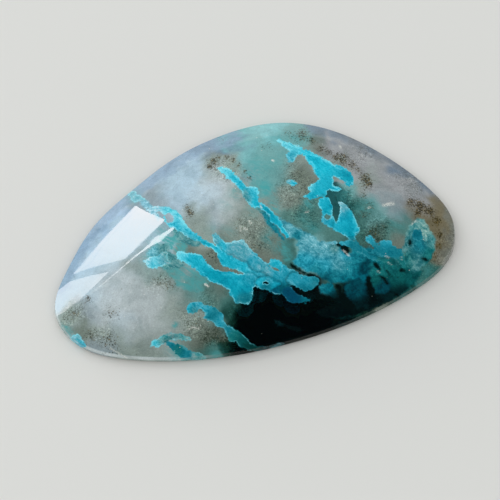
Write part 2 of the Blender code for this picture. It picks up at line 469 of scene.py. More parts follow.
# Chrysocolla, the blue-green copper mineral, grew through the chalcedony in
# plumes. The far ones are hazy and the near ones crisp, and each is drawn by
# its outline, from the deepest to the nearest, with the colours along it.
CHRYSOCOLLA = {
    "frost": light(148, 206, 220),
    "cyan": light(96, 206, 222),
    "bright": light(44, 192, 214),
    "turquoise": light(46, 180, 202),
    "lagoon": light(22, 160, 182),
    "shallow": light(64, 168, 188),
    "faded": light(104, 178, 190),
    "mint": light(140, 186, 178),
    "mist": light(96, 160, 160),
    "sea": light(88, 146, 148),
    "teal": light(42, 132, 146),
    "petrol": light(8, 106, 122),
    "deep": light(6, 72, 84),
    "fir": light(24, 92, 92),
    "reed": light(44, 124, 124),
    "blue": light(4, 78, 104),
    "murk": light(20, 56, 54),
    # Painted shade: the growths darkened where they lie in shadow by the pool and the front edge
    "night": light(8, 34, 36),
    "shadow green": light(14, 62, 58),
    "shade": light(4, 18, 18),
}
far_growths = (
    # The dark mass at the right end, its front part in painted shade
    (4.0, (
        (352, 243), (362, 246), (380, 250), (396, 250), (406, 256), (418, 268), (424, 272), (408, 290),
        (388, 303), (366, 312), (345, 318), (322, 318), (310, 312), (330, 304), (345, 300), (352, 285),
        (350, 265),
    ), (
        (358, 254, 7, "teal"), (375, 258, 7, "petrol"), (390, 262, 8, "reed"), (405, 265, 7, "fir"),
        (375, 268, 6, "reed"), (395, 278, 8, "fir"), (412, 276, 7, "fir"), (385, 290, 7, "night"),
        (372, 298, 7, "shade"), (355, 305, 8, "shade"), (335, 313, 9, "shade"), (360, 270, 6, "deep"),
        (400, 290, 6, "night"), (378, 312, 6, "night"), (395, 302, 5, "night"),
    )),
    (2.5, (
        (276, 216), (284, 219), (290, 222), (296.7, 226.7), (304.4, 231), (310, 233.3), (320, 241),
        (330, 243), (341, 246), (350, 252), (355.6, 258.9), (359, 264.4), (361, 271), (366, 273.3),
        (367, 281), (361, 282.2), (352, 280), (347.8, 282.2), (343, 283), (334.4, 283), (327, 281),
        (321, 280), (319, 277), (312, 272), (306.7, 271), (296.7, 266), (292.2, 262), (296.7, 257.8),
        (298.9, 249), (295.6, 244.4), (298, 241), (294, 238), (288, 238), (284, 233), (278, 225),
    ), (
        (334, 249, 4, "sea"),
        (288, 226, 7, "faded"), (297, 236, 4, "teal"), (295, 247, 4, "teal"), (306, 245, 7, "faded"),
        (316, 248, 6, "faded"),
        (305, 260, 7, "shallow"), (326, 253, 6, "faded"), (325, 264, 7, "shallow"), (338, 261, 7, "faded"),
        (318, 270, 6, "teal"), (335, 275, 7, "teal"), (350, 268, 7, "teal"), (361, 273, 6, "petrol"),
        (345, 255, 5, "shallow"), (282, 222, 6, "faded"), (326, 280, 5, "deep"), (345, 281, 5, "petrol"),
    )),
    (2.2, (
        (353, 255), (358, 254), (365, 256), (370, 261), (370, 269), (364, 272), (360, 268), (356, 262),
    ), ((357, 258, 5, "teal"), (366, 266, 5, "deep"))),
    (1.8, (
        (319.4, 286.7), (323.3, 283.3), (328.9, 282), (334.4, 286.7), (337.2, 292.2), (338.9, 297.8),
        (334.4, 299), (331, 297.5), (326.7, 294.4), (320, 293.3),
    ), ((323, 287, 4, "teal"), (330, 288, 5, "petrol"), (335, 295, 5, "night"))),
    (2.2, (
        (343.3, 287.8), (347.8, 282.2), (352.2, 280), (361, 281), (365.6, 288.9), (366, 297.8),
        (364, 308), (356, 306), (350, 298), (346, 294),
    ), ((350, 285, 5, "deep"), (360, 286, 5, "deep"), (357, 294, 5, "deep"), (360, 302, 6, "night"))),
    (1.8, (
        (371, 280), (377.8, 276.7), (384.4, 281), (390, 286.7), (384.4, 291), (377.8, 291), (372.8, 285.6),
    ), ((376, 281, 4, "fir"), (382, 287, 5, "deep"))),
    (2.5, (
        (400, 256), (403, 246), (408, 230), (413, 221), (419, 218), (424, 220), (430, 228),
        (435.6, 238), (435, 248), (432, 258), (426, 266), (416, 270), (408, 264),
    ), (
        (415, 225, 6, "mist"), (425, 229, 5, "mint"), (431, 240, 5, "mist"), (418, 248, 6, "teal"),
        (407, 247, 6, "sea"), (416, 259, 7, "sea"), (428, 256, 6, "reed"), (408, 258, 6, "reed"),
    )),
    (1.5, (
        (272, 319), (276, 320), (284, 323), (292, 326), (303, 328), (300, 333), (290, 330), (282, 327),
        (276, 326),
    ), ((276, 322, 4, "night"), (292, 328, 5, "shade"))),
    (1.6, (
        (158, 252), (166, 250), (174, 254), (182, 259), (186, 264), (180, 268), (168, 270), (158, 268),
    ), ((164, 258, 5, "mist"), (178, 261, 6, "sea"), (172, 252, 5, "sea"))),
    (1.8, (
        (146, 254), (150, 248), (156, 244), (163, 242), (168, 245), (168, 252), (160, 256), (152, 258),
    ), ((152, 250, 5, "faded"), (162, 248, 5, "sea"))),
    (1.6, (
        (136, 199), (143, 198), (150, 202), (156, 209), (162, 218), (158, 220), (150, 213), (143, 208),
    ), ((142, 203, 5, "frost"), (152, 211, 5, "frost"))),
    (1.2, (
        (171, 227), (178, 230), (186, 235), (196, 239), (202, 243), (199, 246.5), (192, 247),
        (182, 244), (175, 237),
    ), ((176, 234, 5, "mist"), (184, 239, 5, "sea"), (193, 243, 5, "sea"))),
    (2.0, (
        (240.6, 188), (243, 194), (247, 203), (255, 209), (262, 214), (266, 222), (272, 230),
        (280, 238), (285, 241), (281, 231), (275, 224), (268, 212), (258, 205), (247, 199), (243, 190),
    ), ((245, 197, 6, "sea"), (256, 209, 5, "sea"), (266, 221, 6, "teal"), (278, 235, 6, "teal"))),
)
in_far = np.full(len(picture), -FAR)
far_colour = blended([spot for _, _, colours in far_growths for spot in colours], CHRYSOCOLLA)
for softness, corners, colours in far_growths:
    depth = depth_inside(corners) + wander * 4
    far_colour = laid(far_colour, blended(colours, CHRYSOCOLLA), smooth(depth, -softness - 2, softness - 2))
    in_far = np.maximum(in_far, depth - wander * 4)
keep("in_far", in_far / PIXELS_PER_MM)
keep_colour("far_colour", far_colour)

near_growths = (
    ("wing", (
        (211.8, 235), (215.9, 233.5), (220.6, 237.4), (226.5, 243), (234.7, 240.9), (241.8, 239.7),
        (246.5, 242.6), (251, 249.7), (257, 255), (263, 260.3), (268.8, 263.8), (270, 259), (275.9, 258.5),
        (281.8, 262.6), (286.5, 266.8), (291, 268), (300, 274), (300, 286), (291, 284), (288, 289),
        (279.4, 295.6), (272.4, 293.2), (268.8, 290.9), (264, 289.7), (257, 288.5), (252, 286),
        (252, 276), (240, 266), (226, 256), (216, 247), (212.4, 240),
    ), (
        (214, 238, 6, "faded"), (222, 247, 6, "turquoise"), (233, 247, 6, "faded"), (245, 249, 6, "faded"),
        (256, 261, 7, "shallow"), (238, 256, 6, "faded"), (263, 270, 7, "faded"),
        (275, 264, 6, "turquoise"),
        (285, 274, 6, "shallow"), (270, 283, 6, "lagoon"), (282, 289, 6, "petrol"),
        (261, 286, 5, "shallow"),
        (258, 276, 6, "turquoise"), (275, 291, 4, "blue"), (277, 277, 6, "shallow"), (292, 280, 6, "teal"),
    )),
    ("upper branch", (
        (152, 208), (156.7, 205), (163, 206.5), (170, 207.8), (176.7, 211), (181, 215.6), (184.4, 222),
        (189, 228), (194.4, 232), (200, 236), (206.5, 241), (213, 243.4), (218, 245), (223, 250.3),
        (228.8, 255.6), (234, 259.5), (241, 259.5), (246, 265), (252.4, 270), (259, 272), (266, 276),
        (258, 277), (250, 275), (240.6, 273), (233.5, 269.5), (225.3, 267.4), (220.6, 264.5),
        (218.8, 258), (216, 252.6), (211, 248), (206.5, 247.4), (201.8, 243.5), (196, 241), (188, 237.5),
        (181, 232.5), (175, 229), (169, 227), (164, 221), (163, 213), (161, 212), (155, 212),
    ), (
        (156, 208, 7, "frost"), (168, 210, 7, "cyan"), (177, 215, 7, "cyan"), (184, 226, 7, "cyan"),
        (176, 226, 5, "turquoise"), (177, 238, 6, "sea"), (188, 241, 6, "sea"), (192, 234, 6, "turquoise"),
        (203, 241, 6, "lagoon"), (213, 247, 6, "turquoise"), (222, 258, 6, "turquoise"),
        (232, 264, 6, "turquoise"), (245, 270, 7, "turquoise"), (258, 274, 6, "shallow"),
    )),
    ("lower branch", (
        (175.9, 253.2), (180.6, 250.3), (186.5, 252.6), (193.5, 253.2), (201.8, 255.6), (206.5, 262.6),
        (214.7, 268.5), (219.4, 270.3), (228.8, 272), (240.6, 273.2), (246.5, 272.6), (252.4, 273.2),
        (257, 276), (256, 281.5), (254.7, 286.2), (252.4, 290.9), (253.5, 296.8), (251.2, 302.6),
        (245.3, 305), (235.9, 303.2), (231.2, 296.8), (227.6, 288.5), (221.8, 285.6), (208.8, 280.9),
        (202.9, 275.6), (197, 269.7), (191.2, 266.2), (182.9, 262.6), (177, 259.1),
    ), (
        (180, 256, 6, "cyan"), (190, 258, 7, "turquoise"), (202, 265, 7, "turquoise"),
        (212, 274, 7, "lagoon"),
        (225, 277, 7, "lagoon"), (237, 279, 7, "turquoise"), (248, 279, 6, "shallow"),
        (234, 291, 6, "lagoon"),
        (246, 287, 5, "lagoon"), (242, 298, 5, "teal"), (249, 299, 5, "teal"),
    )),
    ("curl", (
        (256, 282), (261, 277.5), (268, 277.5), (275, 281), (281, 284), (275, 286.5), (270, 289.5),
        (262, 288.5), (258, 286),
    ), (
        (260, 281, 4, "turquoise"), (270, 280, 4, "shallow"), (266, 286, 4, "petrol"),
        (276, 284, 4, "lagoon"),
    )),
    ("belt", (
        (290, 273.3), (296.7, 273.3), (306.7, 276.7), (315.6, 276.7), (319.4, 280), (317.2, 285.6),
        (312.2, 290), (306.7, 291.1), (300, 288.9), (293.3, 285.6), (288, 282),
    ), (
        (296, 278, 6, "shallow"), (306, 282, 6, "shallow"), (314, 282, 5, "teal"),
        (304, 288, 5, "petrol"),
    )),
    ("blue lobe", (
        (280.6, 292), (286.5, 300.3), (292.4, 303.8), (300, 303.2), (307.8, 302.8), (310.6, 299.4),
        (306.7, 297.8), (300, 295.6), (293.5, 290.9), (288.8, 286.2), (283, 288),
    ), ((287, 293, 5, "blue"), (295, 299, 5, "blue"), (306, 300, 4, "petrol"))),
    ("middle plume", (
        (215.6, 168.3), (221, 166.4), (227.8, 167.8), (232.2, 171), (236.7, 174.4), (238.9, 178.9),
        (243.3, 182.8), (246.7, 186.7), (253.3, 186.7), (257.2, 187.8), (258.9, 191), (257.8, 196.7),
        (260, 202.2), (264.4, 204.4), (270, 207.8), (273.3, 212.2), (277.8, 216.7), (281, 221),
        (284.4, 226.7), (287.8, 232.2), (289.4, 237.8), (286.7, 237.8), (281, 232.2), (276.7, 226.7),
        (271.7, 222.2), (268.9, 215.6), (264.4, 211), (258.9, 207.8), (252.2, 206.7), (246.7, 202.2),
        (242.2, 196.7), (241.7, 192.2), (238.9, 188.9), (234.4, 184.4), (231, 180.6), (226, 177.8),
        (222.2, 172.2), (217.8, 170),
    ), (
        (219, 168, 6, "cyan"), (227, 172, 6, "cyan"), (233, 178, 5, "turquoise"),
        (240, 185, 5, "turquoise"),
        (246, 196, 5, "sea"), (252, 194, 5, "turquoise"), (256, 190, 4, "cyan"), (258, 204, 5, "turquoise"),
        (266, 209, 6, "lagoon"), (274, 218, 6, "lagoon"), (282, 229, 6, "turquoise"),
    )),
    ("tall plume", (
        (273.3, 139.8), (280, 139.4), (286.7, 141), (293.3, 143.3), (299, 146), (305.6, 149.4),
        (312, 152.2), (320, 156.7), (326.7, 160.6), (334.4, 164.4), (342, 166), (347.8, 170),
        (352, 174.4), (354.4, 178.9), (353.3, 184.4), (350, 187.2), (347, 185.6), (344.4, 181),
        (337.8, 178.9), (333.3, 176.7), (332.8, 182), (334.4, 186), (340, 186.7), (340.6, 190),
        (336.7, 192.8), (331, 191), (327.8, 191), (326.7, 195.6), (321, 197.2), (315.6, 199.4),
        (310, 199.4), (302, 196.7), (310, 192.2), (308.3, 190), (307.8, 186.7), (312, 183.3),
        (319.4, 180.6), (317.8, 176.7), (314.4, 173.3), (313.3, 167.8), (309, 164.4), (306.7, 160),
        (303.3, 155.6), (300, 153.3), (296.7, 155.6), (294.4, 157.8), (295.6, 160), (293.3, 162.8),
        (288.3, 161), (286, 156.7), (286.7, 153.3), (290.6, 152.2), (287.8, 150.6), (283.3, 146.7),
        (278.9, 142.2),
    ), (
        (280, 142, 6, "cyan"), (292, 147, 6, "cyan"), (305, 154, 6, "bright"), (316, 162, 6, "bright"),
        (326, 168, 6, "bright"), (325, 180, 6, "turquoise"), (337, 170, 5, "turquoise"),
        (347, 177, 6, "lagoon"),
        (318, 188, 5, "turquoise"), (312, 196, 5, "lagoon"), (337, 189, 4, "turquoise"),
        (291, 157, 5, "shallow"),
        (312, 186, 4, "cyan"), (326, 190, 5, "turquoise"),
    )),
    ("stem", (
        (318.9, 198.9), (322, 197), (327, 197), (330, 200), (333.3, 205.6), (332, 208.9), (332.8, 214.4),
        (334.4, 220), (337, 224.5), (340, 232), (338.9, 233.3), (334.4, 230), (331, 228.3), (326.7, 226.7),
        (322, 222), (321, 216.7), (322.8, 213.3), (320.6, 208.9), (318.3, 203.3),
    ), (
        (325, 203, 5, "turquoise"), (328, 210, 5, "lagoon"), (325, 221, 5, "shallow"),
        (334, 227, 5, "turquoise"),
    )),
    ("leaf", (
        (336, 222), (338.9, 215.6), (339.4, 208.9), (340, 204.4), (337.8, 200.6), (343.3, 202.2),
        (350, 207.8), (354.4, 215.6), (356.7, 222.2), (358.9, 228.9), (360, 232.2), (356.7, 232.2),
        (355.6, 238.9), (352, 243), (348.3, 240), (347.8, 237.8), (344.4, 235.6), (338.9, 233.3),
        (334.4, 230),
    ), (
        (343, 206, 5, "faded"), (343, 214, 4, "shallow"), (350, 215, 5, "lagoon"),
        (354, 225, 5, "turquoise"),
        (343, 222, 5, "turquoise"), (350, 232, 6, "lagoon"),
    )),
    ("reach", (
        (322, 244), (330, 242), (340, 241), (348, 239.5), (356, 240), (360, 246), (368, 251), (379, 254),
        (392, 258), (402, 264), (398, 267), (386, 263), (372, 260), (362, 255), (352, 249), (344, 244.5),
        (332, 244.5),
    ), (
        (330, 243, 5, "faded"), (345, 241, 4, "shallow"), (354, 244, 5, "teal"), (362, 250, 5, "teal"),
        (372, 255, 5, "teal"), (385, 259, 6, "reed"), (396, 263, 6, "fir"),
    )),
    ("fingers", (
        (366.7, 236.7), (371, 235.6), (374.4, 238.9), (376, 242.5), (380, 246), (378.5, 242), (380, 240.5),
        (384.4, 238.9), (391, 240), (393.3, 245.6), (396.7, 247.8), (402.2, 248.9), (403.3, 254.4),
        (405.6, 261), (407, 268), (402, 268), (397, 260), (388, 257), (378, 255), (370, 250.5),
        (375, 248.5), (371, 244.5), (366, 241),
    ), (
        (370, 239, 5, "shallow"), (376, 247, 5, "teal"), (386, 243, 5, "shallow"), (388, 251, 5, "teal"),
        (399, 252, 5, "teal"), (403, 262, 5, "reed"),
    )),
    ("low plume", (
        (185.3, 309.7), (187, 305), (192.4, 301.5), (198.2, 301.5), (204, 304.4), (211, 306),
        (216, 308.5), (221.8, 312.6), (224, 318), (225.3, 322.6), (228.8, 325.6), (234.7, 328.5),
        (240.6, 331.5), (246.5, 336.8), (251, 342.6), (257, 346.8), (271, 344.5), (286.5, 342.6),
        (280.6, 345.6), (271, 347.5), (261.8, 350.3), (254.7, 351.5), (247.6, 350.3), (240.6, 346.8),
        (236, 341.5), (231, 342.6), (227, 339), (226.5, 333.2), (224, 329), (217, 326),
        (211, 322), (204, 318.5), (197.6, 316.8), (204, 315.6), (205.3, 312), (199.4, 309),
        (198.2, 311.5), (193.5, 313.8), (187.6, 313),
    ), (
        (188, 309, 5, "turquoise"), (195, 304, 5, "shallow"), (193, 310, 4, "sea"),
        (205, 309, 5, "shallow"),
        (213, 316, 6, "teal"), (221, 321, 5, "shallow"), (227, 329, 5, "teal"), (234, 334, 5, "reed"),
        (229, 341, 4, "reed"), (241, 339, 6, "fir"), (250, 346, 6, "shadow green"), (272, 346, 7, "night"),
    )),
    ("strand", (
        (149.5, 347.5), (150.8, 342), (157.5, 338.6), (164.4, 334.4), (170, 332.6), (176.7, 333.2),
        (183.3, 334.6), (192, 336.8), (191.5, 341), (183, 340.6), (177, 340), (171.5, 340.4),
        (165, 343), (158, 348),
    ), ((153, 345, 5, "cyan"), (163, 340, 5, "mist"), (172, 336, 5, "sea"), (186, 338, 5, "mist"))),
    ("low leaf", (
        (163, 340), (170, 340.5), (173.5, 344), (179, 344.2), (184, 346.8), (189, 350.6), (195, 351.2),
        (201, 352.4), (208, 358), (197, 361), (187, 358.4), (180, 357), (174, 351.6), (168, 347),
    ), ((170, 344, 5, "teal"), (178, 350, 5, "reed"), (186, 354, 5, "teal"), (198, 356, 5, "mist"))),
    ("end flake", (
        (69, 339), (72, 336), (76.7, 333.3), (81, 335.6), (84, 341), (87.5, 347.8), (80, 348),
        (74.4, 344.4),
    ), ((76, 338, 5, "faded"), (82, 345, 5, "shallow"))),
    ("tongue", (
        (141, 262), (146.7, 258.9), (152, 256.7), (157.8, 255.6), (161, 252), (166.7, 251),
        (168, 257.8), (171, 265), (165.6, 265), (156.7, 268.3), (150.6, 269.4), (146.7, 266.7),
        (144.4, 262),
    ), ((146, 261, 5, "frost"), (154, 263, 5, "cyan"), (161, 260, 5, "faded"), (168, 256, 5, "mist"))),
    ("blue speck", (
        (416, 228), (421, 231), (424, 237), (420, 242), (414, 241), (411, 236), (412, 231),
    ), ((417, 233, 4, "petrol"), (419, 240, 4, "teal"))),
    ("edge curl", (
        (125, 193), (132, 190), (137, 193), (143, 197), (149, 201), (141, 200), (134, 204), (131, 198),
    ), ((130, 193, 5, "faded"), (142, 198, 5, "faded"))),
    ("small leaf", (
        (285, 182), (289, 179.3), (294, 180), (298.5, 184), (294, 185.6), (289, 183.8),
    ), ((288, 181, 3, "faded"), (294, 183, 3, "turquoise"))),
)
# Each growth has a painted rim light at its edge, a pale line where light catches
# it, which is this strong where it isn't full
PALE_EDGE = {
    "belt": 0.3, "blue lobe": 0.3, "reach": 0.3, "fingers": 0.3, "low leaf": 0.3, "blue speck": 0.3,
    "low plume": 0.6,
}
LIT_EDGE = 1.3
rim_light_share = np.ones(len(picture))
in_near = np.full(len(picture), -FAR)
near_colour = blended([spot for _, _, colours in near_growths for spot in colours], CHRYSOCOLLA)
for name, corners, colours in near_growths:
    depth = depth_inside(corners)
    roughened = depth + wander * 2.5
    own = blended(colours, CHRYSOCOLLA)
    lit = np.exp(-(((roughened - LIT_EDGE) / LIT_EDGE) ** 2))
    edging = PALE_EDGE.get(name, 1.0)
    lit *= edging * (0.35 + 0.65 * smooth(-wander, -0.25, 0.3))
    paler = own * (1.6, 1.4, 1.35) + own.mean(axis=1)[:, None] * 0.16
    own = own + (np.clip(paler, 0, 1) - own) * 0.6 * lit[:, None]
    # Painted shadow: a dark line just outside each growth, on the ones drawn before it
    shadow_under_edge = np.exp(-(((roughened + LIT_EDGE) / LIT_EDGE) ** 2))
    near_colour = near_colour * (1 - 0.35 * shadow_under_edge[:, None] * (in_near > 0)[:, None])
    here = smooth(roughened, -0.8, 0.8)
    near_colour = laid(near_colour, own, here)
    rim_light_share += (edging - rim_light_share) * smooth(depth, -4, 0)
    in_near = np.maximum(in_near, depth)
for hole in (
    ((164.6, 215.5), (168, 213.6), (172.4, 215.6), (174.2, 219.6), (170.6, 223), (166.4, 221.4)),
    ((264, 282.4), (267, 281.8), (270.6, 283.2), (268, 284.6), (265, 284.2)),
    ((325, 216), (328, 214), (330.5, 216), (330, 219), (326.5, 219)),
    ((198, 311), (200.5, 310), (202, 312.5), (200, 314)),
    ((267.5, 265), (273, 266.5), (280, 269.5), (279, 270.8), (272, 268.5)),
):
    in_near = np.minimum(in_near, -depth_inside(hole))
keep("in_near", in_near / PIXELS_PER_MM)
keep_colour("near_colour", near_colour)
keep("rim_light_share", rim_light_share)

# Cracks and hollows where the growths parted; their near-black is painted shade,
# seen right down to the back through the clear stone
shaded_gaps = (
    ((290, 284.5), (296.7, 285.8), (300, 288.6), (307.8, 291), (317.8, 291), (323.3, 296), (329, 297),
     (334.4, 299), (340, 303), (339, 308), (317.8, 307), (311, 304.4), (308.9, 297.8), (301, 293.3),
     (294.4, 288.9)),
    ((290, 263), (292.2, 264.4), (296.7, 267), (303, 270.5), (310, 274.4), (306.7, 275), (298, 271.5),
     (291, 266.5)),
    ((334.4, 284.4), (338.9, 283.3), (341.7, 288.9), (343.3, 294.4), (350, 298.9), (356.7, 307.8),
     (348, 309), (341, 308), (340, 297.8), (337.8, 291)),
    ((365, 280.6), (367.8, 274.4), (370.6, 275.6), (371, 282.2), (374.4, 287.8), (375.6, 291),
     (372.2, 295.6), (367.8, 288.9)),
    ((377.8, 275.2), (383.3, 275.8), (388.9, 282.2), (390.6, 287), (386.7, 284.6), (382.2, 279.2)),
    ((391, 290), (394, 291), (400, 296), (396.5, 296)),
    ((335.6, 243.3), (342, 243.2), (349, 246.7), (350, 251), (347.8, 254.6), (343.3, 251.5),
     (338.9, 247.4)),
    ((373, 262), (377, 263), (381, 268), (380, 271), (375, 267)),
    ((421, 258), (426, 257), (430, 260), (425, 262)),
    ((386, 270), (391, 273), (393, 277), (388, 275)),
    ((400, 268), (405, 270), (404, 273), (400, 272)),
    ((409, 238), (412, 243), (410, 249), (408, 244)),
    ((246, 271), (249, 274), (251, 280), (249, 278)),
    ((305, 273), (313, 273.5), (319, 277), (321, 281), (318, 284.5), (313, 279), (306, 276)),
)
in_shaded_gap = np.max([depth_inside(corners) for corners in shaded_gaps], axis=0)
keep("in_shaded_gap", in_shaded_gap / PIXELS_PER_MM)

# Mist of the same mineral round the plumes
mist_spots = (
    (160, 245, 13, 0.4), (215, 232, 9, 0.25), (225, 205, 8, 0.2), (236, 192, 6, 0.5),
    (148, 258, 7, 0.5), (188, 275, 12, 0.3), (165, 232, 8, 0.5), (240, 132, 9, 0.4), (222, 138, 7, 0.3),
    (254, 163, 9, 0.35), (262, 186, 8, 0.5), (266, 189, 6, 0.8), (275, 210, 6, 0.6),
    (256, 172, 10, 0.35), (270, 165, 9, 0.3), (272, 200, 8, 0.4), (285, 158, 10, 0.25),
    (278, 138, 8, 0.4), (290, 136, 7, 0.4), (252, 212, 7, 0.3), (268, 238, 8, 0.4), (282, 247, 8, 0.7),
    (286, 258, 6, 0.6), (272, 225, 7, 0.4), (250, 176, 7, 0.5), (308, 203, 7, 0.6), (312, 228, 8, 0.45),
    (302, 218, 6, 0.3), (347, 195, 8, 0.45), (362, 206, 7, 0.4), (395, 222, 12, 0.25),
    (372, 200, 8, 0.25), (176, 352, 9, 0.6), (187, 357, 7, 0.6), (217, 355, 7, 0.4), (65, 328, 5, 0.7),
    (70, 335, 5, 0.6), (175, 325, 3, 0.7), (345, 316, 12, 0.12), (400, 296, 8, 0.3), (415, 285, 8, 0.3),
    (133, 197, 8, 0.4), (230, 232, 8, 0.2), (425, 270, 8, 0.35), (300, 140, 7, 0.3),
)
mist_patches = (
    (0.75, 3.0, (
        (146, 254), (152, 246), (158, 239), (166, 231), (174, 231), (182, 238), (188, 247), (188, 256),
        (179, 262), (168, 268), (160, 262), (152, 260),
    )),
    (0.55, 2.5, (
        (158, 264), (170, 260), (182, 262), (192, 267), (200, 273), (208, 281), (203, 290), (192, 292),
        (181, 287), (172, 279),
    )),
)
mist = gathered(mist_spots)
for strength, softness, corners in mist_patches:
    mist = np.maximum(mist, strength * smooth(depth_inside(corners) + wander * 4, -softness, softness))
keep("mist", mist)


# Moss: specks of brown and gold iron and manganese oxides, scattered in small
# tufts and a crescent near the right-hand end, where they settled as it grew.
moss_spots = (
    (343, 159, 8, 0.75), (352, 165, 6, 0.65), (365, 178, 7, 0.75), (369, 184, 6, 0.7),
    (320, 148, 5, 0.7), (312, 140, 5, 0.7), (328, 152, 5, 0.65), (336, 157, 5, 0.65),
    (358, 170, 5, 0.55), (303, 133, 7, 0.6), (363, 195, 6, 0.5), (364, 214, 6, 0.6), (190, 213, 6, 0.8),
    (186, 206, 4, 0.6), (213, 164, 7, 0.4), (209, 166, 3, 0.7), (213, 160, 3, 0.7), (219, 157, 3, 0.6),
    (226, 157, 3, 0.65), (233, 160, 3, 0.7), (239, 165, 3, 0.7), (245, 171, 3, 0.65),
    (250, 178, 4, 0.6), (232, 158, 8, 0.3), (88, 299, 5, 0.8), (112, 312, 10, 0.5), (75, 314, 6, 0.6),
    (411, 202, 6, 0.8), (421, 205, 6, 0.9), (430, 211, 6, 0.9), (437, 221, 6, 0.85),
    (440, 234, 5, 0.75), (439, 246, 5, 0.7), (435, 257, 5, 0.5), (418, 213, 5, 0.8), (372, 205, 6, 0.5),
    (155, 278, 10, 0.35), (215, 168, 7, 0.4), (170, 286, 8, 0.5), (110, 342, 14, 0.5),
    (290, 165, 12, 0.35), (240, 228, 12, 0.35), (300, 138, 8, 0.4), (90, 335, 8, 0.5),
    (288, 134, 6, 0.5), (195, 325, 10, 0.35), (280, 200, 10, 0.35), (222, 141, 6, 0.4),
    (268, 145, 8, 0.4), (300, 180, 8, 0.3), (372, 240, 8, 0.4), (255, 245, 10, 0.3),
    (396, 262, 7, 0.45), (405, 254, 6, 0.4), (374, 230, 7, 0.5), (385, 225, 6, 0.4), (426, 240, 6, 0.3),
)
keep("moss", gathered(moss_spots))

# Painted glints: thin strokes of light where healed cracks and single crystals
# inside catch it, from x, y to x, y, half width, strength
glint_strokes = (
    (455, 224, 455, 236, 0.6, 0.3), (455, 236, 451, 250, 0.6, 0.35), (451, 250, 443, 263, 0.6, 0.35),
    (249, 221, 251, 223, 1.0, 1.0), (244, 228, 247, 229, 1.0, 0.9), (240, 226, 241, 231, 0.8, 0.6),
    (272, 160, 274, 161, 0.9, 1.0), (205, 284, 208, 286, 1.1, 1.0), (384, 205, 393, 203.5, 1.6, 0.9),
    (188, 330, 193, 327, 0.8, 0.8), (193, 327, 199, 329, 0.8, 0.8), (199, 329, 200, 325, 0.8, 0.6),
    (343, 250, 345, 252, 0.9, 0.7), (346, 253, 349, 256, 0.9, 0.7), (306, 212, 308, 211.5, 1.0, 0.8),
    (340, 146, 341, 148, 0.9, 0.8), (110, 348, 127, 358, 0.8, 0.6), (386, 256, 389, 258, 1.0, 0.5),
    (378, 271, 379, 273, 0.8, 0.5), (388, 262, 391, 265, 0.8, 0.4), (401, 257, 402, 260, 0.8, 0.4),
    (412, 224, 416, 221, 0.8, 0.6), (416, 221, 419, 222, 0.8, 0.5), (368, 208, 370, 207, 1.0, 0.7),
    (260, 205, 262, 208, 0.8, 0.6),
)
painted_glints = np.zeros(len(picture))
for x, y, end_x, end_y, half_width, strength in glint_strokes:
    start, run = np.array((x, y)), np.array((end_x - x, end_y - y))
    place_on = np.clip(((picture - start) @ run) / (run @ run), 0, 1)
    away = np.linalg.norm(picture - start - place_on[:, None] * run, axis=1)
    painted_glints = np.maximum(painted_glints, strength * smooth(-away, -half_width * 1.5, -half_width * 0.4))
keep("painted_glints", painted_glints * ~on_back)


# The polish: the dome and girdle are one clear gloss over the growths. Milky
# and grown-through parts are opaque below it, and smoky parts are clear stone.
CLEAR_INDEX = 1.54
FIBRES_RUN = math.radians(-55)
STRANDS_RUN = math.radians(-48)


def new_material(name):
    material = bpy.data.materials.new(name)
    material.use_nodes = True
    material.node_tree.nodes.clear()
    return material


